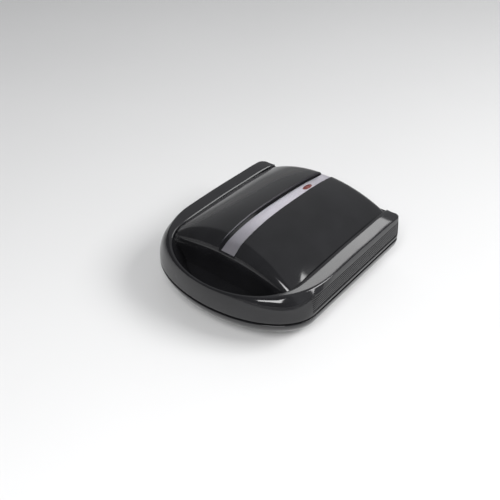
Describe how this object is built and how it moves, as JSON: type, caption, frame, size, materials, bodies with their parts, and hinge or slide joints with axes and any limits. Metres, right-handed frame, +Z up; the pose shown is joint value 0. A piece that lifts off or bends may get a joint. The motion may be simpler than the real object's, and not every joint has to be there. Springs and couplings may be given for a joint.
{
  "type": "electric nut cookie maker",
  "caption": "Hinged electric cookie maker with walnut-half moulds, a domed gloss lid with a long metal strip, and a finger grip across its front.",
  "frame": {"origin": "middle of the footprint, on the surface that the feet stand on", "axes": "+Z up; -Y towards the front grip; +Y towards the hinge; X along the hinge axis"},
  "size_m": [0.25, 0.2919, 0.1124],
  "materials": {
    "black_gloss": "high-gloss moulded black plastic",
    "trim_silver": "fine brushed, lengthwise",
    "lens_red": "translucent red-brown, unlit",
    "lamp_glass": "clear",
    "cast_dark": "dark non-stick coating, satin",
    "heater_steel": "dull heat-tinted tube",
    "sheet_steel": "bright rolled sheet",
    "screw_steel": "zinc plated",
    "inner_plastic": "natural heat-resistant plastic",
    "foot_rubber": "matt black rubber"
  },
  "bodies": {
    "base": {"lower_housing": "black_gloss", "lower_mould_plate": "cast_dark", "lower_plate_screws": "screw_steel", "lower_heater": "heater_steel", "lower_heater_clamps": "screw_steel", "lower_heat_shield": "sheet_steel", "thermostat": "screw_steel", "thermal_fuse": "inner_plastic", "terminal_block": "inner_plastic", "inlet_bush": "foot_rubber", "hinge_pin_left": "screw_steel", "hinge_pin_right": "screw_steel", "foot_front_left": "foot_rubber", "foot_front_right": "foot_rubber", "foot_rear_left": "foot_rubber", "foot_rear_right": "foot_rubber"},
    "lid": {"lid_frame": "black_gloss", "lid_cover": "black_gloss", "trim_strip": "trim_silver", "indicator_lens": "lens_red", "indicator_lamp": "lamp_glass", "lamp_holder": "inner_plastic", "cover_screws": "screw_steel", "upper_mould_plate": "cast_dark", "upper_plate_screws": "screw_steel", "upper_heater": "heater_steel", "upper_heater_clamps": "screw_steel", "upper_heat_shield": "sheet_steel"}
  },
  "joints": [
    {"name": "lid_hinge", "type": "hinge", "parent": "base", "child": "lid", "pos_m": [0, 0.1395, 0.044], "axis": [-1, 0, 0], "range_deg": [0, 100]}
  ]
}
